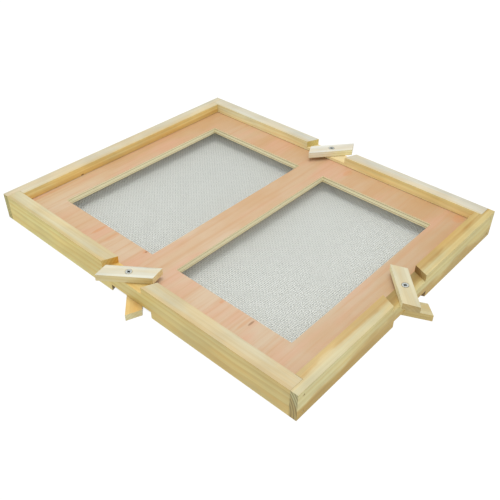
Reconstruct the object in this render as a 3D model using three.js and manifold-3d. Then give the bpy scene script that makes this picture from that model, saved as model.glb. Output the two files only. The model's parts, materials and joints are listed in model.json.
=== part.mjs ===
// A double screen division board for a ten-frame beehive.
//
// Four pine rails make a rim that carries a plywood panel in a groove, half way up. Two windows in the
// panel are closed underneath by woven wire screens. Three of the rails have an entrance gate above the
// panel and another below it: a slanted notch in the rail, shut by a wooden block that swivels on one
// countersunk screw. The lower gates mirror the upper ones, so the board works either way up.
//
// Units are millimetres. +X runs along the long rails, +Y along the short rails and +Z is up.
import * as THREE from "three";
import { mergeVertices } from "three/addons/utils/BufferGeometryUtils.js";
import Module from "manifold-3d";

const wasm = await Module();
wasm.setup();

// ---- Driving dimensions ----

const BOARD_LENGTH = 508; // outside the rim, along X
const BOARD_WIDTH = 413; // outside the rim, along Y
const RIM_HEIGHT = 38;
const RAIL_THICKNESS = 19;
const GAP = 0.3; // clearance between neighbouring pieces
const REBATE = 9.5; // step cut in a short rail's end, across its thickness, that takes a long rail's end
const JOINT_GAP = 0.1; // between a long rail and the walls of the rebate

const PANEL_THICKNESS = 9.5;
const PANEL_TONGUE = 6; // how far the panel's edge runs into each rail
const GROOVE_DEPTH = 6.5;
const WINDOW_LENGTH = 176.5; // along X
const WINDOW_WIDTH = 289; // along Y
const CENTRE_BAR = 43.5; // plywood left between the two windows
const WINDOW_SHIFT = -2; // the windows sit this far towards the front rail

const SCREEN_MARGIN = 12; // how far a screen laps past its window on each side
const SCREEN_THICKNESS = 0.8;

const NOTCH_LENGTH = 70;
const NOTCH_DEPTH = 9.5;
const BLOCK_LENGTH = 67.4; // along the block's middle line
const BLOCK_THICKNESS = 9;
const END_SLANT = THREE.MathUtils.degToRad(22.5); // of the notch's and the block's ends

const SCREW_LENGTH = 16;
const SHANK_RADIUS = 2;
const HEAD_RADIUS = 4;
const HEAD_RIM = 0.3; // straight edge of the head, above its 45 degree cone
const POINT_LENGTH = 3;
const RECESS = { span: 4.6, width: 1.1, depth: 1.5 }; // the head's cross recess

const PIN_LENGTH = 40;
const PIN_RADIUS = 0.8;
const PIN_HEAD = { radius: 1.2, depth: 1 };
const PIN_SINK = 0.3; // how far a pin's head is punched below the rail's face
const PIN_INSET = 7; // height of each pin from the rim's nearer edge

const STAPLE = { crown: 11, leg: 7, width: 1.2, thickness: 0.8 };
const STAPLE_INSET = 6; // from the window's edge
const STAPLES_ALONG_Y = [-120, -60, 0, 60, 120]; // on each long side of a window
const STAPLES_ALONG_X = [-45, 45]; // on each short side of a window

const ROUND_SIDES = 24; // sides of a turned piece
const PIN_SIDES = 8;

// The gates. Each is drawn as if it were in the front rail and then turned about Z to its own rail.
// offset is how far the pivot stands from the rail's middle, and open is how far the block stands open.
const GATES = [
  { rail: "front", upper: { offset: -3.4, open: 37 }, lower: { offset: 3.4, open: 43 } },
  { rail: "side", upper: { offset: -1.2, open: 43.5 }, lower: { offset: -1.2, open: 65 } },
  { rail: "back", upper: { offset: 4, open: 51 }, lower: { offset: -4, open: 45 } },
];

// ---- Dimensions that follow from them ----

const LONG_RAIL_LENGTH = BOARD_LENGTH - 2 * (RAIL_THICKNESS - REBATE) - 2 * JOINT_GAP;
const INNER_LENGTH = BOARD_LENGTH - 2 * RAIL_THICKNESS;
const INNER_WIDTH = BOARD_WIDTH - 2 * RAIL_THICKNESS;
const PANEL_LENGTH = INNER_LENGTH + 2 * PANEL_TONGUE;
const PANEL_WIDTH = INNER_WIDTH + 2 * PANEL_TONGUE;
const PANEL_BASE = (RIM_HEIGHT - PANEL_THICKNESS) / 2;
const WINDOW_CENTRE = (CENTRE_BAR + WINDOW_LENGTH) / 2;
const SCREEN_BASE = PANEL_BASE - GAP - SCREEN_THICKNESS;
const STAPLE_BASE = SCREEN_BASE - GAP - STAPLE.thickness;
const BLOCK_BASE = RIM_HEIGHT - NOTCH_DEPTH + GAP; // underside of an upper block
const HEAD_HEIGHT = HEAD_RIM + HEAD_RADIUS - SHANK_RADIUS;
const BITE = SCREW_LENGTH - BLOCK_THICKNESS - GAP; // how far a screw runs into the rail

// Where each rail stands: turned about Z from the front rail's place, at its middle line's distance from
// the board's centre. The short rails run the full width, and the long rails end in their rebates.
const RAILS = {
  front: { turn: 0, reach: (BOARD_WIDTH - RAIL_THICKNESS) / 2, length: LONG_RAIL_LENGTH },
  side: { turn: 90, reach: (BOARD_LENGTH - RAIL_THICKNESS) / 2, length: BOARD_WIDTH },
  back: { turn: 180, reach: (BOARD_WIDTH - RAIL_THICKNESS) / 2, length: LONG_RAIL_LENGTH },
  plain: { turn: 270, reach: (BOARD_LENGTH - RAIL_THICKNESS) / 2, length: BOARD_WIDTH },
};

// ---- Solids: joining and cutting closed geometry ----

function solidFrom(geometry) {
  const bare = geometry.clone();
  bare.deleteAttribute("normal");
  bare.deleteAttribute("uv");
  const merged = mergeVertices(bare, 1e-4);
  return new wasm.Manifold(
    new wasm.Mesh({
      numProp: 3,
      vertProperties: new Float32Array(merged.attributes.position.array),
      triVerts: new Uint32Array(merged.index.array),
    }),
  );
}

function geometryFrom(solid) {
  const { vertProperties, triVerts } = solid.getMesh();
  const geometry = new THREE.BufferGeometry();
  geometry.setAttribute("position", new THREE.BufferAttribute(vertProperties, 3));
  geometry.setIndex(new THREE.BufferAttribute(triVerts, 1));
  const flat = geometry.toNonIndexed();
  flat.computeVertexNormals();
  return flat;
}

function cut(body, cutters) {
  return cutters.reduce((left, cutter) => left.subtract(solidFrom(cutter)), solidFrom(body));
}

// ---- Shapes ----

// A box given by its lowest and highest corners.
function box(low, high) {
  const size = high.map((value, axis) => value - low[axis]);
  const middle = high.map((value, axis) => (value + low[axis]) / 2);
  return new THREE.BoxGeometry(...size).translate(...middle);
}

// A flat slab with slanted ends. slant is +1 where the ends lean towards +X going inwards, or -1.
function slantedSlab(length, width, base, top, slant) {
  const lean = slant * Math.tan(END_SLANT) * (width / 2);
  const outline = new THREE.Shape([
    new THREE.Vector2(-length / 2 - lean, -width / 2),
    new THREE.Vector2(length / 2 - lean, -width / 2),
    new THREE.Vector2(length / 2 + lean, width / 2),
    new THREE.Vector2(-length / 2 + lean, width / 2),
  ]);
  const slab = new THREE.ExtrudeGeometry(outline, { depth: top - base, bevelEnabled: false });
  return slab.translate(0, 0, base);
}

// A round solid about Z from a list of [radius, height] points that starts and ends on the axis.
function turned(profile, sides) {
  const points = profile.map(([radius, height]) => new THREE.Vector2(radius, height));
  return new THREE.LatheGeometry(points, sides).rotateX(Math.PI / 2);
}

// A plain round hole about Z, from base up to top.
function hole(radius, base, top, sides) {
  return turned([[0, base], [radius, base], [radius, top], [0, top]], sides);
}

// ---- Pieces ----

// A rail in the front rail's place, about its own middle: X along it, -Y outwards, z = 0 at the rim's foot.
function railGeometry(name) {
  const { length, reach } = RAILS[name];
  const half = RAIL_THICKNESS / 2;
  const groove = box(
    [-length, half - GROOVE_DEPTH, PANEL_BASE - GAP],
    [length, RAIL_THICKNESS, RIM_HEIGHT - PANEL_BASE + GAP],
  );
  const cutters = [groove];
  for (const gate of GATES.filter(({ rail }) => rail === name)) {
    cutters.push(...notchCutters(gate.upper.offset, 1), ...notchCutters(gate.lower.offset, -1));
  }
  for (const end of [-1, 1]) {
    if (length === BOARD_WIDTH) {
      cutters.push(rebate(end), ...pinHoles(end * RAILS.front.reach, -half));
    } else {
      cutters.push(...endPinHoles(end * (BOARD_LENGTH / 2)));
    }
  }
  return geometryFrom(cut(box([-length / 2, -half, 0], [length / 2, half, RIM_HEIGHT]), cutters))
    .translate(0, -reach, 0);
}

// The step at one end of a short rail, in its inner half, that a long rail's end sits in.
function rebate(end) {
  const step = BOARD_WIDTH / 2 - RAIL_THICKNESS - JOINT_GAP;
  const x = [end * step, end * BOARD_WIDTH].sort((a, b) => a - b);
  return box([x[0], RAIL_THICKNESS / 2 - REBATE, -1], [x[1], RAIL_THICKNESS, RIM_HEIGHT + 1]);
}

// A gate's notch and the screw hole in the sill beside it. level is 1 for an upper gate, -1 for a lower.
function notchCutters(offset, level) {
  const width = 2 * RAIL_THICKNESS;
  const floor = RIM_HEIGHT - NOTCH_DEPTH;
  const holeFoot = floor - BITE - GAP;
  const radius = SHANK_RADIUS + GAP;
  const cutters = [
    slantedSlab(NOTCH_LENGTH, width, floor, 2 * RIM_HEIGHT, 1),
    hole(radius, holeFoot, floor + GAP, ROUND_SIDES),
  ];
  for (const cutter of cutters) {
    if (level < 0) cutter.rotateY(Math.PI).translate(0, 0, RIM_HEIGHT);
    cutter.translate(offset, 0, 0);
  }
  return cutters;
}

function pinHeights() {
  return [PIN_INSET, RIM_HEIGHT - PIN_INSET];
}

// A pin's clearance, about Z with its mouth at z = 0 and its foot below, as deep as the pin needs.
function pinHole() {
  const neck = -PIN_SINK - PIN_HEAD.depth - GAP;
  const foot = -PIN_SINK - PIN_LENGTH - GAP;
  const profile = [
    [0, foot],
    [PIN_RADIUS + GAP, foot],
    [PIN_RADIUS + GAP, neck],
    [PIN_HEAD.radius + GAP, neck],
    [PIN_HEAD.radius + GAP, 1],
    [0, 1],
  ];
  return turned(profile, PIN_SIDES);
}

// The two pin holes at one end of a short rail, sunk into its outer face.
function pinHoles(x, face) {
  return pinHeights().map((z) => pinHole().rotateX(Math.PI / 2).translate(x, face, z));
}

// The same pins' holes in a long rail's end, drawn from the short rail's outer face at x = face.
function endPinHoles(face) {
  const turn = (Math.PI / 2) * Math.sign(face);
  return pinHeights().map((z) => pinHole().rotateY(turn).translate(face, 0, z));
}

function pinGeometry() {
  const profile = [
    [0, -PIN_LENGTH],
    [PIN_RADIUS, -PIN_LENGTH + 2 * PIN_RADIUS],
    [PIN_RADIUS, -PIN_HEAD.depth],
    [PIN_HEAD.radius, -PIN_HEAD.depth],
    [PIN_HEAD.radius, 0],
    [0, 0],
  ];
  return turned(profile, PIN_SIDES);
}

function screwGeometry() {
  const profile = [
    [0, -SCREW_LENGTH],
    [SHANK_RADIUS, -SCREW_LENGTH + POINT_LENGTH],
    [SHANK_RADIUS, -HEAD_HEIGHT],
    [HEAD_RADIUS, -HEAD_RIM],
    [HEAD_RADIUS, 0],
    [0, 0],
  ];
  const { span, width, depth } = RECESS;
  const slots = [
    box([-span / 2, -width / 2, -depth], [span / 2, width / 2, 1]),
    box([-width / 2, -span / 2, -depth], [width / 2, span / 2, 1]),
  ];
  return geometryFrom(cut(turned(profile, ROUND_SIDES), slots));
}

// A gate block about its pivot, closed, with its outer face at z = 0 and its body below it.
function blockGeometry() {
  const slab = slantedSlab(BLOCK_LENGTH, RAIL_THICKNESS, -BLOCK_THICKNESS, 0, 1);
  const sideways = GAP * Math.SQRT2; // keeps GAP square to the head's 45 degree cone
  const shaft = SHANK_RADIUS + GAP;
  const mouth = HEAD_RADIUS + sideways;
  const profile = [
    [0, -2 * BLOCK_THICKNESS],
    [shaft, -2 * BLOCK_THICKNESS],
    [shaft, -HEAD_RIM - (mouth - shaft)],
    [mouth, -HEAD_RIM],
    [mouth, 1],
    [0, 1],
  ];
  return geometryFrom(cut(slab, [turned(profile, ROUND_SIDES)]));
}

// The four sides of a window as staple places: [x, y, crown's turn] about the window's centre.
function staplePlaces() {
  const x = WINDOW_LENGTH / 2 + STAPLE_INSET;
  const y = WINDOW_WIDTH / 2 + STAPLE_INSET;
  const places = [];
  for (const side of [-1, 1]) {
    for (const along of STAPLES_ALONG_Y) places.push([side * x, along, Math.PI / 2]);
    for (const along of STAPLES_ALONG_X) places.push([along, side * y, 0]);
  }
  return places;
}

// A staple about the middle of its crown's underside, with its legs pointing up.
function stapleGeometry() {
  const { crown, leg, width, thickness } = STAPLE;
  const outline = new THREE.Shape([
    new THREE.Vector2(-crown / 2, 0),
    new THREE.Vector2(crown / 2, 0),
    new THREE.Vector2(crown / 2, leg),
    new THREE.Vector2(crown / 2 - thickness, leg),
    new THREE.Vector2(crown / 2 - thickness, thickness),
    new THREE.Vector2(-crown / 2 + thickness, thickness),
    new THREE.Vector2(-crown / 2 + thickness, leg),
    new THREE.Vector2(-crown / 2, leg),
  ]);
  const shape = new THREE.ExtrudeGeometry(outline, { depth: width, bevelEnabled: false });
  return shape.translate(0, 0, -width / 2).rotateX(Math.PI / 2);
}

// Clearance for the two legs of the staple at one place about a window's centre.
function legHoles([x, y, turn]) {
  const { crown, leg, width, thickness } = STAPLE;
  const middle = (crown - thickness) / 2;
  const reach = thickness / 2 + GAP;
  const side = width / 2 + GAP;
  return [-middle, middle].map((along) =>
    box([along - reach, -side, 0], [along + reach, side, leg + GAP])
      .rotateZ(turn)
      .translate(x, y, STAPLE_BASE),
  );
}

function panelGeometry() {
  const cutters = [];
  for (const centre of [-WINDOW_CENTRE, WINDOW_CENTRE]) {
    cutters.push(
      box([-WINDOW_LENGTH / 2, -WINDOW_WIDTH / 2, 0], [WINDOW_LENGTH / 2, WINDOW_WIDTH / 2, RIM_HEIGHT])
        .translate(centre, WINDOW_SHIFT, 0),
    );
    for (const place of staplePlaces()) {
      for (const leg of legHoles(place)) cutters.push(leg.translate(centre, WINDOW_SHIFT, 0));
    }
  }
  const board = box(
    [-PANEL_LENGTH / 2, -PANEL_WIDTH / 2, PANEL_BASE],
    [PANEL_LENGTH / 2, PANEL_WIDTH / 2, PANEL_BASE + PANEL_THICKNESS],
  );
  return geometryFrom(cut(board, cutters));
}

function screenGeometry() {
  const x = WINDOW_LENGTH / 2 + SCREEN_MARGIN;
  const y = WINDOW_WIDTH / 2 + SCREEN_MARGIN;
  const sheet = box([-x, -y, SCREEN_BASE], [x, y, SCREEN_BASE + SCREEN_THICKNESS]);
  return geometryFrom(cut(sheet, staplePlaces().flatMap(legHoles)));
}

// ---- Materials ----

const pine = new THREE.MeshStandardMaterial({ color: 0xdccf9f, roughness: 0.75, metalness: 0 });
const palePine = new THREE.MeshStandardMaterial({ color: 0xe6dfc4, roughness: 0.75, metalness: 0 });
const plywood = new THREE.MeshStandardMaterial({ color: 0xd9b48c, roughness: 0.7, metalness: 0 });
const wire = new THREE.MeshStandardMaterial({ color: 0xc4c9c6, roughness: 0.4, metalness: 0.9 });
const zinc = new THREE.MeshStandardMaterial({ color: 0xb9bdc4, roughness: 0.3, metalness: 1 });

// ---- The board ----

function piece(name, geometry, material) {
  const mesh = new THREE.Mesh(geometry, material);
  mesh.name = name;
  return mesh;
}

function addRails(board) {
  for (const [name, { turn }] of Object.entries(RAILS)) {
    const rail = piece(name + "_rail", railGeometry(name), pine);
    rail.rotation.z = THREE.MathUtils.degToRad(turn);
    board.add(rail);
  }
}

// One swivelling block and its screw, hung on the rail that has the gate. The lower ones are the upper
// ones turned over about the rail's length, which also mirrors their slant and the way they open.
function addGate(board, gate, level) {
  const { turn, reach } = RAILS[gate.rail];
  const { offset, open } = gate[level];
  const place = new THREE.Group();
  place.rotation.z = THREE.MathUtils.degToRad(turn);
  const top = BLOCK_BASE + BLOCK_THICKNESS;
  const pivot = new THREE.Group();
  pivot.position.set(offset, -reach, level === "upper" ? top : RIM_HEIGHT - top);
  pivot.rotation.y = level === "upper" ? 0 : Math.PI;
  const block = piece(`${gate.rail}_${level}_block`, blockGeometry(), palePine);
  block.rotation.z = THREE.MathUtils.degToRad(open);
  const screw = piece(`${gate.rail}_${level}_screw`, screwGeometry(), zinc);
  pivot.add(block, screw);
  place.add(pivot);
  board.add(place);
}

function addScreens(board) {
  [-WINDOW_CENTRE, WINDOW_CENTRE].forEach((centre, index) => {
    const side = index === 0 ? "left" : "right";
    const window = new THREE.Group();
    window.position.set(centre, WINDOW_SHIFT, 0);
    window.add(piece(side + "_screen", screenGeometry(), wire));
    staplePlaces().forEach(([x, y, turn], number) => {
      const staple = piece(`${side}_staple_${String(number + 1).padStart(2, "0")}`, stapleGeometry(), zinc);
      staple.position.set(x, y, STAPLE_BASE);
      staple.rotation.z = turn;
      window.add(staple);
    });
    board.add(window);
  });
}

function addPins(board) {
  const across = (BOARD_WIDTH - RAIL_THICKNESS) / 2;
  const face = BOARD_LENGTH / 2 - PIN_SINK;
  let number = 0;
  for (const x of [-face, face]) {
    for (const y of [-across, across]) {
      for (const z of pinHeights()) {
        number += 1;
        const pin = piece("corner_pin_" + number, pinGeometry(), zinc);
        pin.position.set(x, y, z);
        pin.rotation.y = (Math.PI / 2) * Math.sign(x);
        board.add(pin);
      }
    }
  }
}

const board = new THREE.Group();
addRails(board);
board.add(piece("plywood_panel", panelGeometry(), plywood));
addScreens(board);
for (const gate of GATES) {
  addGate(board, gate, "upper");
  addGate(board, gate, "lower");
}
addPins(board);

// The origin is the middle of the whole part's footprint, on the surface that it lies on.
board.updateMatrixWorld(true);
const extent = new THREE.Box3().setFromObject(board, true);
const footprint = extent.getCenter(new THREE.Vector3());
board.position.set(-footprint.x, -footprint.y, -extent.min.z);

export default board;
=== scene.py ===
"""Looks for the hive division board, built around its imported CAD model.

Lengths are metres. The pine rails and gate blocks, the plywood panel, the screws, the pins and the
staples are CAD nodes with procedural materials, and the wooden ones have rounded edges. Each wire screen
is a real woven mesh that stands for the thin sheet of the CAD model.
"""

import json
import math

import bpy
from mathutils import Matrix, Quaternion, Vector


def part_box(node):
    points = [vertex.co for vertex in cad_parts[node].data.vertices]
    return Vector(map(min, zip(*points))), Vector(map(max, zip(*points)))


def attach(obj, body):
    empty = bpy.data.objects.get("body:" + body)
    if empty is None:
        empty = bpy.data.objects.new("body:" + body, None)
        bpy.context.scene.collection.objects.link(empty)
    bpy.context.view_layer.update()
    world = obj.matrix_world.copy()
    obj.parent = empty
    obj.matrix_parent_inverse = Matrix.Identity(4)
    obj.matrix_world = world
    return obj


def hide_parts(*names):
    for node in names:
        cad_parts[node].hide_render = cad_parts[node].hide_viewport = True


MM = 0.001

# ---- The photograph's view ----

AIM = Vector((0.0463, -0.0603, 0.02375))
AZIMUTH = math.radians(41.61)
ELEVATION = math.radians(38.08)
DISTANCE = 0.798
ROLL = math.radians(0.64)
LENS = 46.34  # mm, on a 36 mm sensor

# ---- Sizes ----

EDGE_ROUNDING = {"rail": 0.3 * MM, "block": 0.4 * MM, "panel": 0.25 * MM}
WIRE_RADIUS = 0.24 * MM
CRIMP = 0.3 * MM  # how far a wire rises and dips at the crossings
WARP_PITCH = 2.71 * MM  # between the wires that run along Y
WEFT_PITCH = 2.53 * MM  # between the wires that run along X
# The dark part of a screw head is painted shade over its driver recess.
RECESS_RADIUS = 2.3 * MM  # of the dark part of a screw head

# Degrees that each rail is turned about Z, from one whose outer face looks along -Y.
RAIL_TURNS = {"front": 0, "side": 90, "back": 180, "plain": 270}

# ---- Light and floor ----

GLOW = 1.02  # of the light table, and of the backdrop behind it, as the camera sees them
SKY = 0.74  # the even light from all round
LAMP_PLACE = Vector((-0.15, 0.08, 2.0))  # it shines at the frame's origin
LAMP_SIZE = 1.1  # across its disk
LAMP_POWER = 18.1  # W
FLOOR_REACH = 40.0  # from its middle to its sides
FLOOR_COLOUR = (0.87, 0.88, 0.83, 1)  # where it shows through the mesh


# ---- Material building ----


class Shader:
    """A material whose node tree is built up one node at a time."""

    def __init__(self, name):
        self.material = bpy.data.materials.new(name)
        self.material.use_nodes = True
        self.tree = self.material.node_tree
        self.surface = self.tree.nodes["Principled BSDF"]

    def feed(self, socket, value):
        if isinstance(value, bpy.types.NodeSocket):
            self.tree.links.new(value, socket)
        else:
            socket.default_value = value

    def add(self, kind, inputs, **settings):
        node = self.tree.nodes.new("ShaderNode" + kind)
        for key, value in settings.items():
            setattr(node, key, value)
        for key, value in inputs.items():
            self.feed(node.inputs[key], value)
        return node

    def math(self, operation, *values):
        node = self.add("Math", dict(enumerate(values)), operation=operation)
        return node.outputs[0]

    def vector(self, operation, *values):
        """A vector operation's node. Its outputs are a vector, 0, and a number, Value."""
        return self.add("VectorMath", dict(enumerate(values)), operation=operation)

    def scaled(self, vector, scale):
        return self.vector("MULTIPLY", vector, scale).outputs[0]

    def noise(self, vector, scale, detail=2.0, roughness=0.5):
        inputs = {
            "Vector": self.scaled(vector, scale),
            "Scale": 1.0,
            "Detail": detail,
            "Roughness": roughness,
        }
        return self.add("TexNoise", inputs).outputs[0]

    def step(self, value, low, high, start=0.0, end=1.0):
        """Goes smoothly from start to end as value goes from low to high."""
        inputs = {"Value": value, "From Min": low, "From Max": high, "To Min": start, "To Max": end}
        return self.add("MapRange", inputs, interpolation_type="SMOOTHSTEP").outputs[0]

    def towards(self, part):
        """1 on the faces that look along an axis and 0 elsewhere, from the normal's part along it."""
        return self.step(part, 0.4, 0.8)

    def absolute(self, value):
        return self.math("ABSOLUTE", value)

    def mix(self, factor, first, second, blend="MIX"):
        node = self.add("Mix", {0: factor, 6: first, 7: second}, data_type="RGBA", blend_type=blend)
        return node.outputs[2]

    def tint(self, factor, colour, tint):
        """colour times tint, as far as factor says."""
        return self.mix(factor, colour, tint, "MULTIPLY")

    def spot(self, vector, centre, sizes):
        """1 within an ellipsoid and 0 outside it, with a soft edge."""
        offset = self.vector("SUBTRACT", vector, centre).outputs[0]
        scaled = self.vector("DIVIDE", offset, sizes).outputs[0]
        distance = self.vector("LENGTH", scaled).outputs["Value"]
        return self.step(distance, 0.5, 1.0, 1.0, 0.0)

    def bump(self, height, distance, strength=1.0):
        inputs = {"Height": height, "Distance": distance, "Strength": strength}
        self.feed(self.surface.inputs["Normal"], self.add("Bump", inputs).outputs[0])

    def finish(self, **sockets):
        for name, value in sockets.items():
            self.feed(self.surface.inputs[name.replace("_", " ")], value)
        return self.material


def rgb(red, green, blue):
    """A screen colour, 0 to 255, as a linear RGBA value."""
    linear = [((v / 255 + 0.055) / 1.055) ** 2.4 for v in (red, green, blue)]
    return (*linear, 1.0)


# ---- Pine ----

LATEWOOD = rgb(232, 214, 178)
END_RING = rgb(160, 136, 100)
HEARTWOOD = rgb(242, 222, 190)
# Painted shade on the notches' cuts below the panel.
SHADED_CUT = rgb(128, 112, 78)
WARM_PATCH = rgb(255, 249, 232)
COOL_PATCH = rgb(250, 253, 250)
PINE_KNOT = rgb(156, 118, 66)

RING_WIDTH = 3.6 * MM
RING_SWAY = 9 * MM  # how far a ring strays across the stick
HALF_THICKNESS = 9.5 * MM  # of a rail
PITH = (20, -30)  # of a stick whose look gives none
RINGS = 0.35  # of a stick whose look gives none

# Distances from a rail's middle between which one colour gives way to another.
GATE_END = (46 * MM, 48 * MM)  # along it, past the notches' ends
SILL_HEIGHT = (10 * MM, 12 * MM)  # up it, above the upper notch's sill
# Below these heights a notch's cut takes SHADED_CUT, a painted shade.
LOWER_CUT = (-10 * MM, -7 * MM)  # up it, above the lower notch

# Lengths in the looks are millimetres. Each face has a colour at the start of the stick's x axis and one at
# its end. The face colours are partly the wood's own and partly painted light: the tops are paler and
# greyer partly as a painted sheen, the inner faces are lightened as painted light against the shade that
# falls on them, and the lower blocks' tops are lighter at their shaded ends as painted light. A notch's end
# cuts and its sill have a colour at the rail's inner face and one at its outer face; the inner colours are
# painted shade and painted warm bounced light over the end grain's own colour.
# pith is how far the middle of the growth rings lies from the stick's middle, across and up. rings is how
# strongly the rings show along the stick, and end_rings how much more strongly they show on its ends. heart
# is the radius within which the wood is darker. A stripe is a face, its place across that face, its half
# width, and a tint at the start and at the end. A knot, twice as long as it is wide, is its place on the
# stick and half its width.
LOOKS = {
    "front_rail": {
        "top": (rgb(211, 199, 164), rgb(208, 195, 163)),
        "outer": (rgb(221, 206, 135), rgb(209, 188, 125)),
        "inner": (rgb(236, 218, 170), rgb(236, 218, 170)),
        "end": rgb(180, 168, 112),
        "cut": (rgb(238, 190, 92), rgb(224, 204, 138)),
        "sill": (rgb(233, 200, 122), rgb(224, 198, 136)),
        "pith": (60, -25),
        "rings": 0.45,
        "stripes": (("top", -8.0, 3.2, rgb(250, 240, 216), rgb(253, 246, 236)),),
    },
    "side_rail": {
        "top": (rgb(212, 200, 162), rgb(205, 188, 134)),
        "outer": (rgb(215, 204, 149), rgb(206, 191, 128)),
        "inner": (rgb(236, 214, 160), rgb(236, 214, 160)),
        "end": rgb(186, 179, 131),
        "cut": (rgb(149, 123, 73), rgb(180, 156, 104)),
        "sill": (rgb(174, 161, 114), rgb(208, 194, 143)),
        "pith": (47, -16),
        "heart": 57.5,
        "end_rings": 0.4,
        "stripes": (
            ("top", 0.5, 3.0, rgb(255, 250, 244), rgb(240, 226, 204)),
            ("outer", -13.0, 8.0, rgb(236, 225, 184), rgb(252, 255, 250)),
        ),
    },
    "back_rail": {
        "top": (rgb(212, 204, 187), rgb(209, 205, 192)),
        "outer": (rgb(200, 186, 128), rgb(200, 186, 128)),
        # Painted light: the inner face is lightened against the shade that falls on it.
        "inner": (rgb(252, 236, 180), rgb(252, 249, 211)),
        "end": rgb(180, 168, 112),
        "cut": (rgb(232, 214, 140), rgb(232, 214, 140)),
        "sill": (rgb(240, 222, 180), rgb(240, 222, 180)),
        "pith": (38, 34),
        "stripes": (
            ("top", -5.0, 4.0, rgb(250, 253, 255), rgb(250, 253, 255)),
            ("top", 8.5, 3.0, rgb(255, 250, 238), rgb(255, 252, 242)),
            ("inner", 7.5, 4.0, rgb(255, 252, 246), rgb(255, 250, 241)),
            ("inner", 16.0, 4.5, rgb(249, 249, 240), rgb(249, 249, 248)),
        ),
    },
    "plain_rail": {
        "top": (rgb(211, 200, 174), rgb(211, 200, 176)),
        "outer": (rgb(200, 186, 128), rgb(200, 186, 128)),
        "inner": (rgb(246, 225, 159), rgb(246, 225, 159)),
        "end": rgb(176, 168, 102),
        "pith": (-50, 40),
        "stripes": (
            ("inner", 8.0, 4.0, rgb(243, 230, 212), rgb(243, 230, 212)),
            ("top", 8.5, 3.5, rgb(255, 251, 238), rgb(255, 251, 238)),
            ("top", -8.5, 3.0, rgb(248, 252, 255), rgb(248, 252, 255)),
        ),
        "knots": ((93.0, 9.5, 6.0, 1.6),),
    },
    "front_upper_block": {
        "top": (rgb(222, 219, 205), rgb(222, 219, 205)),
        "outer": (rgb(221, 204, 153), rgb(221, 204, 153)),
        "inner": (rgb(220, 200, 150), rgb(220, 200, 150)),
        "end": rgb(246, 232, 187),
    },
    "front_lower_block": {
        # Painted light: the top is lighter at its shaded start, and the inner face is near white against
        # its shade.
        "top": (rgb(255, 240, 190), rgb(228, 192, 124)),
        "outer": (rgb(222, 206, 160), rgb(222, 206, 160)),
        "inner": (rgb(252, 252, 252), rgb(252, 252, 252)),
        "end": rgb(217, 208, 164),
    },
    "side_upper_block": {
        "top": (rgb(215, 206, 176), rgb(214, 205, 177)),
        "outer": (rgb(224, 208, 160), rgb(224, 208, 160)),
        "inner": (rgb(252, 252, 221), rgb(252, 252, 221)),
        "end": rgb(194, 173, 121),
    },
    "side_lower_block": {
        # Painted light: the top is white at its shaded start.
        "top": (rgb(255, 255, 255), rgb(204, 190, 150)),
        "outer": (rgb(201, 177, 115), rgb(201, 177, 115)),
        "inner": (rgb(205, 187, 120), rgb(205, 187, 120)),
        "end": rgb(177, 158, 114),
    },
    "back_upper_block": {
        "top": (rgb(222, 219, 210), rgb(222, 219, 210)),
        "outer": (rgb(220, 206, 158), rgb(220, 206, 158)),
        "inner": (rgb(252, 250, 214), rgb(252, 252, 240)),
        "end": rgb(204, 198, 174),
    },
    "back_lower_block": {
        "top": (rgb(216, 200, 146), rgb(216, 200, 146)),
        "outer": (rgb(206, 190, 134), rgb(206, 190, 134)),
        "inner": (rgb(206, 190, 134), rgb(206, 190, 134)),
        "end": rgb(196, 182, 130),
    },
}


class Stick:
    """A stick's own coordinates, and which of its faces a point is on.

    The stick fills box. It lies along its own x axis, which is turned about Z, and its outer face looks
    along its own -y.
    """

    def __init__(self, s, box, turn):
        low, high = box
        position = s.add("TexCoord", {}).outputs
        placing = {"Vector": position["Object"], "Location": (low + high) / 2, "Rotation": (0, 0, turn)}
        self.place = s.add("Mapping", placing, vector_type="TEXTURE").outputs[0]
        turning = {"Vector": position["Normal"], "Rotation": (0, 0, turn)}
        facing = s.add("Mapping", turning, vector_type="TEXTURE").outputs[0]
        self.x, self.y, self.z = s.add("SeparateXYZ", {0: self.place}).outputs
        facing_x, facing_y, facing_z = s.add("SeparateXYZ", {0: facing}).outputs

        reach = max(high.x - low.x, high.y - low.y) / 2
        self.along = s.step(self.x, -0.8 * reach, 0.8 * reach)
        self.on_top = s.towards(facing_z)
        self.inside = s.towards(facing_y)
        self.outside = s.step(facing_y, -0.8, -0.4, 1.0, 0.0)
        self.at_end = s.towards(s.absolute(facing_x))
        self.beyond_gate = s.step(s.absolute(self.x), *GATE_END)
        self.far_end = s.math("MULTIPLY", self.at_end, self.beyond_gate)


def face_colour(s, stick, look):
    """The colour on each face, partly the wood's own and partly painted sheen and light, and in a rail's
    notches, where painted shade and warm bounced light colour the cuts and sills towards the inner face and
    painted shade darkens the cuts below the panel.
    """
    colour = s.mix(stick.along, *look["outer"])
    colour = s.mix(stick.inside, colour, s.mix(stick.along, *look["inner"]))
    colour = s.mix(stick.on_top, colour, s.mix(stick.along, *look["top"]))
    colour = s.mix(stick.at_end, colour, look["end"])
    if "cut" in look:
        # Painted shade in the notches: the cuts and sills go from painted shade and warm bounced light at
        # the inner face to the outer face's colour, and the cuts below the panel take SHADED_CUT.
        outward = s.step(stick.y, HALF_THICKNESS, -HALF_THICKNESS)
        near = s.math("SUBTRACT", 1.0, stick.beyond_gate)
        sunk = s.math("MULTIPLY", s.step(stick.z, *SILL_HEIGHT, 1.0, 0.0), stick.on_top)
        cut = s.mix(s.step(stick.z, *LOWER_CUT), SHADED_CUT, s.mix(outward, *look["cut"]))
        colour = s.mix(s.math("MULTIPLY", near, sunk), colour, s.mix(outward, *look["sill"]))
        colour = s.mix(s.math("MULTIPLY", near, stick.at_end), colour, cut)
    return colour


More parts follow.
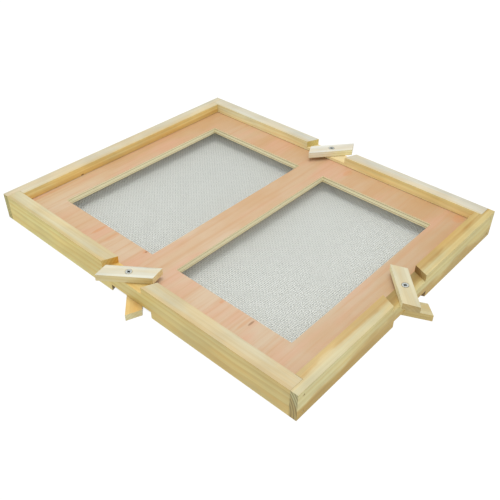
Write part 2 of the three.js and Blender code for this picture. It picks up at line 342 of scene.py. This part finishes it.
def growth_rings(s, stick, look):
    """The distance from the pith, and how dark the latewood is there."""
    pith_y, pith_z = look.get("pith", PITH)
    wander = s.noise(stick.place, (5, 22, 22))
    drift = s.noise(stick.place, (9, 40, 40), detail=1)
    sway_y = s.math("MULTIPLY_ADD", wander, RING_SWAY, -pith_y * MM - RING_SWAY / 2)
    sway_z = s.math("MULTIPLY_ADD", drift, RING_SWAY, -pith_z * MM - RING_SWAY / 2)
    across = s.math("POWER", s.math("ADD", stick.y, sway_y), 2.0)
    up = s.math("POWER", s.math("ADD", stick.z, sway_z), 2.0)
    radius = s.math("SQRT", s.math("ADD", across, up))

    turns = s.math("FRACT", s.math("DIVIDE", radius, RING_WIDTH))
    rise = s.step(turns, 0.2, 0.85)
    fall = s.step(turns, 0.88, 1.0, 1.0, 0.0)
    less_on_top = s.math("MULTIPLY_ADD", stick.on_top, -0.7, 1.0)
    strength = s.math("MULTIPLY", less_on_top, look.get("rings", RINGS))
    strength = s.math("MULTIPLY_ADD", stick.far_end, look.get("end_rings", 0.0), strength)
    latewood = s.math("MULTIPLY", s.math("MULTIPLY", rise, fall), strength)
    return radius, s.math("MINIMUM", latewood, 1.0)


def heartwood(s, look, colour, radius, streak, cloud):
    """Darker wood within a ragged circle about the pith."""
    edge = look["heart"] * MM
    finely = s.math("MULTIPLY_ADD", streak, 4 * MM, -2 * MM)
    broadly = s.math("MULTIPLY_ADD", cloud, 12 * MM, -6 * MM)
    ragged = s.math("ADD", broadly, s.math("ADD", radius, finely))
    return s.tint(s.step(ragged, edge - 1 * MM, edge + 2 * MM, 0.9, 0.0), colour, HEARTWOOD)


def stripes_and_knots(s, stick, look, colour, streak):
    faces = {
        "top": (stick.on_top, stick.y),
        "outer": (stick.outside, stick.z),
        "inner": (stick.inside, stick.z),
    }
    for face, middle, half, *tints in look.get("stripes", ()):
        shown, offset = faces[face]
        wave = s.math("MULTIPLY_ADD", streak, 3 * MM, (-1.5 - middle) * MM)
        distance = s.absolute(s.math("ADD", offset, wave))
        amount = s.math("MULTIPLY", s.step(distance, 0.5 * half * MM, 1.3 * half * MM, 1.0, 0.0), shown)
        colour = s.tint(amount, colour, s.mix(stick.along, *tints))
    for knot_x, knot_y, knot_z, size in look.get("knots", ()):
        centre = (knot_x * MM, knot_y * MM, knot_z * MM)
        sizes = (2 * size * MM, size * MM, size * MM)
        colour = s.mix(s.spot(stick.place, centre, sizes), colour, PINE_KNOT)
    return colour


def pine(name, box, turn, look):
    """Bare planed pine for the stick that fills box and whose x axis is turned about Z."""
    s = Shader(name)
    stick = Stick(s, box, turn)
    fibre = s.noise(stick.place, (14, 900, 900), detail=3, roughness=0.6)
    streak = s.noise(stick.place, (4, 160, 160), detail=2)
    cloud = s.noise(stick.place, (18, 40, 40), detail=3)
    patch = s.noise(stick.place, (12, 60, 60), detail=2)
    radius, latewood = growth_rings(s, stick, look)

    colour = face_colour(s, stick, look)
    colour = s.tint(1.0, colour, s.mix(s.step(patch, 0.38, 0.62), WARM_PATCH, COOL_PATCH))
    colour = s.tint(latewood, colour, s.mix(stick.far_end, LATEWOOD, END_RING))
    if "heart" in look:
        colour = heartwood(s, look, colour, radius, streak, cloud)
    colour = stripes_and_knots(s, stick, look, colour, streak)

    shade = s.step(streak, 0.3, 0.7, 0.96, 1.03)
    shade = s.math("MULTIPLY", shade, s.step(fibre, 0.25, 0.75, 0.95, 1.04))
    shade = s.math("MULTIPLY", shade, s.step(cloud, 0.3, 0.7, 0.91, 1.06))
    grey = s.add("CombineColor", {0: shade, 1: shade, 2: shade}).outputs[0]
    s.bump(s.math("ADD", fibre, s.math("MULTIPLY", latewood, 1.5)), 0.12 * MM, 0.5)
    return s.finish(Base_Color=s.tint(1.0, colour, grey), Roughness=s.step(fibre, 0.2, 0.8, 0.5, 0.64))


# ---- Plywood ----

# A pair of colours is what the wood drifts between.
FRONT_VENEER = (rgb(205, 173, 137), rgb(209, 186, 157))
BACK_VENEER = (rgb(198, 159, 115), rgb(201, 169, 132))
LEFT_TINT = rgb(252, 247, 234)
RIGHT_TINT = rgb(249, 251, 251)
BLUSH = rgb(211, 165, 135)
STREAK = rgb(198, 150, 106)
PORE = rgb(170, 120, 82)
VENEER_EDGE = (rgb(255, 244, 202), rgb(252, 238, 192))
CORE_EDGE = (rgb(255, 248, 208), rgb(255, 243, 200))
GLUE = rgb(160, 122, 66)
GLUE_LINE = 0.26  # where a glue line lies, from the panel's middle, as a part of its thickness
KNOT = rgb(104, 66, 46)
STAIN = rgb(206, 138, 84)
SCAR = rgb(146, 104, 70)

# Marks in the panel's face veneer: place, half length along the grain and half width in millimetres,
# strength and colour.
VENEER_MARKS = (
    (-45.0, -150.0, 2.2, 1.7, 0.85, KNOT),
    (-46.0, -149.0, 7.0, 3.2, 0.45, STAIN),
    (133.4, -155.0, 6.5, 1.7, 0.75, SCAR),
    (128.0, -160.0, 16.0, 3.0, 0.3, STAIN),
    (-125.0, -160.0, 15.0, 3.5, 0.5, STAIN),
    (-100.0, -158.0, 18.0, 5.0, 0.3, STAIN),
    (86.0, -152.0, 4.0, 2.5, 0.4, STAIN),
    (205.0, 178.0, 14.0, 9.0, 0.4, STAIN),
    (30.0, 172.0, 12.0, 7.0, 0.35, STAIN),
)


def veneer(s, place, top, streak, pore):
    """The face veneer's colour, its grain along Y."""
    x, y, _ = s.add("SeparateXYZ", {0: place}).outputs
    patch = s.step(s.noise(place, (18, 9, 18), detail=3, roughness=0.6), 0.35, 0.65)
    blush = s.noise(place, (34, 8, 34), detail=2, roughness=0.5)
    colour = s.mix(s.step(y, -0.17, 0.17), s.mix(patch, *FRONT_VENEER), s.mix(patch, *BACK_VENEER))
    colour = s.tint(s.step(x, -0.26, -0.18, 1.0, 0.0), colour, LEFT_TINT)
    colour = s.tint(s.step(x, 0.06, 0.2), colour, RIGHT_TINT)
    colour = s.mix(s.step(blush, 0.48, 0.7, 0.0, 0.7), colour, BLUSH)
    colour = s.mix(s.step(streak, 0.42, 0.75, 0.0, 0.5), colour, STREAK)
    colour = s.mix(s.step(pore, 0.62, 0.8, 0.0, 0.25), colour, PORE)
    for mark_x, mark_y, half_length, half_width, strength, tint in VENEER_MARKS:
        centre = (mark_x * MM, mark_y * MM, top)
        spot = s.spot(place, centre, (half_width * MM, half_length * MM, 1.0))
        colour = s.mix(s.math("MULTIPLY", spot, strength), colour, tint)
    return colour


def ply_edge(s, place, bottom, top, facing_y):
    """Three plies: two face veneers and a core across them, with a dark glue line at each joint."""
    z = s.add("SeparateXYZ", {0: place}).outputs[2]
    height = s.math("SUBTRACT", z, (bottom + top) / 2)
    depth = s.absolute(s.math("DIVIDE", height, top - bottom))
    grain = s.step(s.noise(place, (300, 300, 900), detail=2), 0.3, 0.7)
    in_veneer = s.step(depth, GLUE_LINE - 0.01, GLUE_LINE + 0.01)
    edge = s.mix(in_veneer, s.mix(grain, *CORE_EDGE), s.mix(grain, *VENEER_EDGE))
    joint = s.absolute(s.math("SUBTRACT", depth, GLUE_LINE))
    strength = s.math("MULTIPLY_ADD", s.towards(s.absolute(facing_y)), 0.4, 0.6)
    return s.mix(s.math("MULTIPLY", s.step(joint, 0.015, 0.055, 1.0, 0.0), strength), edge, GLUE)


def plywood(box):
    low, high = box
    s = Shader("plywood")
    position = s.add("TexCoord", {}).outputs
    place = position["Object"]
    facing_y, facing_z = s.add("SeparateXYZ", {0: position["Normal"]}).outputs[1:3]
    streak = s.noise(place, (170, 5, 170), detail=3, roughness=0.6)
    pore = s.noise(place, (1400, 60, 1400), detail=2)
    face = veneer(s, place, high.z, streak, pore)
    edge = ply_edge(s, place, low.z, high.z, facing_y)
    colour = s.mix(s.towards(s.absolute(facing_z)), edge, face)
    s.bump(s.math("ADD", pore, streak), 0.1 * MM, 0.35)
    return s.finish(Base_Color=colour, Roughness=s.step(streak, 0.2, 0.8, 0.5, 0.62))


# ---- Steel ----

# A bright colour and a dull one.
STAPLE_ZINC = (rgb(222, 225, 226), rgb(190, 194, 196))
SCREW_ZINC = (rgb(224, 228, 224), rgb(190, 195, 190))
BRASS_COATING = (rgb(206, 188, 136), rgb(188, 168, 116))
# The wires along Y are lighter than those along X as a painted glint; both are the same steel.
WARP_STEEL = (rgb(234, 238, 237), rgb(224, 229, 227))
WEFT_STEEL = (rgb(214, 219, 216), rgb(202, 207, 204))

# Painted shade in the low parts of a crimped wire.
DIP_SHADE_STEEL = rgb(142, 146, 140)
# Painted shade over a screw's driver recess.
RECESS_SHADE = rgb(60, 62, 66)


def steel(name, colours, roughness, crimp_height=None, recess=None):
    """Bare or coated steel.

    A wire that crimps about crimp_height has painted shade where it dips under another. recess is the
    middle of a screw head, where painted shade darkens the driver's recess.
    """
    bright, dull = colours
    s = Shader(name)
    place = s.add("TexCoord", {}).outputs["Object"]
    spangle = s.noise(place, (900, 900, 900), detail=3)
    colour = s.mix(s.step(spangle, 0.3, 0.7), dull, bright)
    if crimp_height is not None:
        # Painted shade where the wire dips under another.
        z = s.add("SeparateXYZ", {0: place}).outputs[2]
        dip_shade = s.step(z, crimp_height - CRIMP, crimp_height + CRIMP, 1.0, 0.0)
        colour = s.mix(dip_shade, colour, DIP_SHADE_STEEL)
    if recess:
        # Painted shade over the driver's recess.
        dark = s.spot(place, recess, (RECESS_RADIUS, RECESS_RADIUS, 30 * MM))
        colour = s.mix(s.math("MULTIPLY", dark, 0.9), colour, RECESS_SHADE)
    s.bump(spangle, 0.02 * MM, 0.3)
    shine = s.step(spangle, 0.25, 0.75, roughness + 0.1, roughness - 0.06)
    return s.finish(Base_Color=colour, Metallic=1.0, Roughness=shine)


# ---- Geometry ----


def add_mesh(name, points, faces):
    mesh = bpy.data.meshes.new(name)
    mesh.from_pydata(points, [], faces)
    thing = bpy.data.objects.new(name, mesh)
    bpy.context.scene.collection.objects.link(thing)
    return thing


def round_edges(node, width):
    """Joins a CAD node's faces up and rounds its sharp edges.

    Modifiers do both, so the node's own mesh stays as it is.
    """
    weld = node.modifiers.new("weld", "WELD")
    weld.merge_threshold = 0.002 * MM
    flatten = node.modifiers.new("flatten", "DECIMATE")
    flatten.decimate_type = "DISSOLVE"
    flatten.angle_limit = math.radians(1)
    bevel = node.modifiers.new("bevel", "BEVEL")
    bevel.width = width
    bevel.segments = 2
    bevel.limit_method = "ANGLE"
    bevel.angle_limit = math.radians(35)
    bevel.use_clamp_overlap = False
    bevel.harden_normals = True


def woven_screen(name, low, high, materials):
    """Plain weave between two corners of a box.

    Wires along Y and wires along X pass over and under each other at every crossing. The first material is
    for the wires along Y and the second for those along X.
    """
    middle = (low + high) / 2
    half = (high - low) / 2
    warps = int(half.x / WARP_PITCH)
    wefts = int(half.y / WEFT_PITCH)
    points = []
    faces = []
    slots = []

    def crossing(i, j, lift):
        return middle + Vector((i * WARP_PITCH, j * WEFT_PITCH, lift if (i + j) % 2 else -lift))

    def wire(path, slot):
        first = len(points)
        for index, centre in enumerate(path):
            along = path[min(index + 1, len(path) - 1)] - path[max(index - 1, 0)]
            side = along.cross(Vector((0, 0, 1))).normalized()
            rise = side.cross(along).normalized()
            for offset in (side, rise, -side, -rise):
                points.append(centre + offset * WIRE_RADIUS)
        rings = len(path)
        for ring in range(rings - 1):
            for corner in range(4):
                start = first + 4 * ring
                after = (corner + 1) % 4
                faces.append((start + corner, start + after, start + 4 + after, start + 4 + corner))
        faces.append(tuple(first + corner for corner in (3, 2, 1, 0)))
        faces.append(tuple(first + 4 * (rings - 1) + corner for corner in range(4)))
        slots.extend([slot] * (len(faces) - len(slots)))

    for i in range(-warps, warps + 1):
        wire([crossing(i, j, CRIMP) for j in range(-wefts, wefts + 1)], 0)
    for j in range(-wefts, wefts + 1):
        wire([crossing(i, j, -CRIMP) for i in range(-warps, warps + 1)], 1)
    screen = add_mesh(name, points, faces)
    screen.data.polygons.foreach_set("material_index", slots)
    screen.data.shade_smooth()
    for material in materials:
        screen.data.materials.append(material)
    return screen


# ---- Stage, light and camera ----


def floor_look(low, high):
    """A plain surface within the outline from low to high and a white light table outside it."""
    s = Shader("floor")
    place = s.add("TexCoord", {}).outputs["Object"]
    offset = s.vector("SUBTRACT", place, (low + high) / 2).outputs[0]
    offset = s.scaled(s.vector("ABSOLUTE", offset).outputs[0], (1, 1, 0))
    excess = s.vector("SUBTRACT", offset, (high - low) / 2).outputs[0]
    excess = s.vector("MAXIMUM", excess, (0, 0, 0)).outputs[0]
    distance = s.vector("LENGTH", excess).outputs["Value"]
    beyond = s.step(distance, 4 * MM, 9 * MM)
    colour = s.mix(beyond, FLOOR_COLOUR, (0, 0, 0, 1))
    glow = s.math("MULTIPLY", beyond, GLOW)
    return s.finish(Base_Color=colour, Roughness=0.9, Emission_Color=(1, 1, 1, 1), Emission_Strength=glow)


def make_floor(material):
    corners = [(x * FLOOR_REACH, y * FLOOR_REACH, 0) for x, y in ((-1, -1), (1, -1), (1, 1), (-1, 1))]
    floor = add_mesh("floor", corners, [(0, 1, 2, 3)])
    floor.data.materials.append(material)


def make_lamp():
    data = bpy.data.lights.new("overhead", "AREA")
    data.shape = "DISK"
    data.size = LAMP_SIZE
    data.energy = LAMP_POWER
    lamp = bpy.data.objects.new("overhead", data)
    lamp.location = LAMP_PLACE
    lamp.rotation_mode = "QUATERNION"
    lamp.rotation_quaternion = (-LAMP_PLACE).to_track_quat("-Z", "Y")
    bpy.context.scene.collection.objects.link(lamp)


def make_sky():
    """Even white light from all round, with a backdrop that is as white as the floor."""
    world = bpy.data.worlds.new("studio")
    world.use_nodes = True
    tree = world.node_tree
    seen = tree.nodes.new("ShaderNodeLightPath").outputs["Is Camera Ray"]
    strength = tree.nodes.new("ShaderNodeMath")
    strength.operation = "MULTIPLY_ADD"
    tree.links.new(seen, strength.inputs[0])
    strength.inputs[1].default_value = GLOW - SKY
    strength.inputs[2].default_value = SKY
    background = tree.nodes["Background"]
    background.inputs["Color"].default_value = (1, 1, 1, 1)
    tree.links.new(strength.outputs[0], background.inputs["Strength"])
    bpy.context.scene.world = world


def make_camera():
    data = bpy.data.cameras.new("camera")
    data.sensor_width = 36
    data.lens = LENS
    data.clip_start = 0.01
    camera = bpy.data.objects.new("camera", data)
    flat = math.cos(ELEVATION)
    back = Vector((math.sin(AZIMUTH) * flat, -math.cos(AZIMUTH) * flat, math.sin(ELEVATION)))
    camera.location = AIM + DISTANCE * back
    camera.rotation_mode = "QUATERNION"
    camera.rotation_quaternion = (-back).to_track_quat("-Z", "Y") @ Quaternion((0, 0, 1), ROLL)
    bpy.context.scene.collection.objects.link(camera)
    bpy.context.scene.camera = camera


# ---- The board ----

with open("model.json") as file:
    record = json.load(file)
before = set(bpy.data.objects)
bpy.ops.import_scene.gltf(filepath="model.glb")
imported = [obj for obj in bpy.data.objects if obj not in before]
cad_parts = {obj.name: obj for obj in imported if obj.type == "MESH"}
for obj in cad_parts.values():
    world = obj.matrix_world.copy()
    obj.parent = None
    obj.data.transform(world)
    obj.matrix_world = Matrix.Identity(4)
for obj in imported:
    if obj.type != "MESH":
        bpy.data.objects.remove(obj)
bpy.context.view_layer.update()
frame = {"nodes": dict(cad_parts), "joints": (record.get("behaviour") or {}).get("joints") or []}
nodes = frame["nodes"]


def dress(name, material):
    nodes[name].data.materials.clear()
    nodes[name].data.materials.append(material)


for rail, degrees in RAIL_TURNS.items():
    name = rail + "_rail"
    dress(name, pine(name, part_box(name), math.radians(degrees), LOOKS[name]))
    round_edges(nodes[name], EDGE_ROUNDING["rail"])

# A joint's range starts where its block is closed, so it tells how far the block is turned from its rail.
for joint in frame["joints"]:
    name = joint["child"]
    opened = -joint["range_deg"][0] * joint["axis"][2]
    turn = math.radians(RAIL_TURNS[name.split("_")[0]] + opened)
    dress(name, pine(name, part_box(name), turn, LOOKS[name]))
    round_edges(nodes[name], EDGE_ROUNDING["block"])

dress("plywood_panel", plywood(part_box("plywood_panel")))
round_edges(nodes["plywood_panel"], EDGE_ROUNDING["panel"])

staple_zinc = steel("staple_zinc", STAPLE_ZINC, 0.3)
brass_coating = steel("brass_coating", BRASS_COATING, 0.5)
for name in nodes:
    if name.endswith("_screw"):
        low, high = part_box(name)
        dress(name, steel(name + "_zinc", SCREW_ZINC, 0.4, recess=(low + high) / 2))
    elif "staple" in name:
        dress(name, staple_zinc)
    elif "corner_pin" in name:
        dress(name, brass_coating)

screen_height = sum(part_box("left_screen"), Vector()).z / 2
# The warp wires carry the lighter painted glint and painted shade in their dips.
warp_wire = steel("warp_wire", WARP_STEEL, 0.4, crimp_height=screen_height)
weft_wire = steel("weft_wire", WEFT_STEEL, 0.48)
for side in ("left", "right"):
    screen = woven_screen(side + "_woven_screen", *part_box(side + "_screen"), (warp_wire, weft_wire))
    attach(screen, "root")
    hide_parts(side + "_screen")

make_floor(floor_look(*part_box("plywood_panel")))
make_lamp()
make_sky()
bpy.context.scene.view_settings.view_transform = "Standard"
make_camera()
